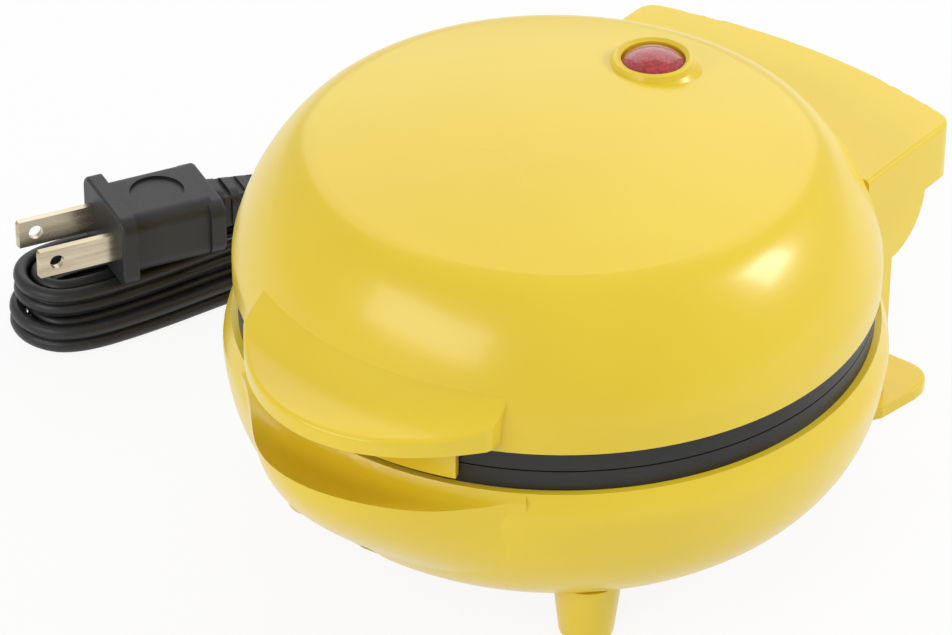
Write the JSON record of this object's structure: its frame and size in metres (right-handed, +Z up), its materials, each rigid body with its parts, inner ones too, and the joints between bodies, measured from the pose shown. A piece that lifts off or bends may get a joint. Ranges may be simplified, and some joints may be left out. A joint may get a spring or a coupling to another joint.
{
  "type": "pancake maker",
  "caption": "Round clamshell electric pancake maker: hinged domed lid with thumb tab and pilot lamp, two non-stick plates, footed base, folded flat cord with plug.",
  "frame": {"origin": "on the table, under the middle between the front tab and the hood's rear", "axes": "+Z up, -Y towards the front tab, +Y towards the hinge, symmetric about the plane X = 0"},
  "size_m": [0.1986, 0.2118, 0.0893],
  "materials": {
    "yellow_shell": "gloss",
    "plate_coating": "non-stick coating, satin",
    "sheath_steel": "satin",
    "shield_steel": "dull",
    "screw_steel": "satin",
    "control_metal": "satin",
    "ceramic": "matt",
    "wire_jacket": "matt",
    "red_lens": "clear red",
    "lamp_glass": "clear",
    "black_rubber": "satin",
    "blade_brass": "nickel plated"
  },
  "bodies": {
    "base": {"base_shell": "yellow_shell", "rear_stand": "yellow_shell", "lower_plate": "plate_coating", "lower_heater": "sheath_steel", "lower_heat_shield": "shield_steel", "base_plate_screws": "screw_steel", "stand_screws": "screw_steel", "hinge_pin": "screw_steel", "thermostat": "control_metal", "thermal_fuse": "control_metal", "terminal_block": "ceramic", "base_wires": "wire_jacket", "cord_boot": "black_rubber", "cord_lead": "black_rubber", "cord_hank": "black_rubber", "cord_tail": "black_rubber", "plug_body": "black_rubber", "plug_relief": "black_rubber", "plug_blades": "blade_brass"},
    "lid": {"lid_shell": "yellow_shell", "upper_plate": "plate_coating", "upper_heater": "sheath_steel", "upper_heat_shield": "shield_steel", "lid_plate_screws": "screw_steel", "lid_wires": "wire_jacket", "lamp_lens": "red_lens", "neon_lamp": "lamp_glass"}
  },
  "joints": [
    {"name": "lid_hinge", "type": "hinge", "parent": "base", "child": "lid", "pos_m": [0, 0.06265, 0.048], "axis": [-1, 0, 0], "range_deg": [0, 92]}
  ]
}
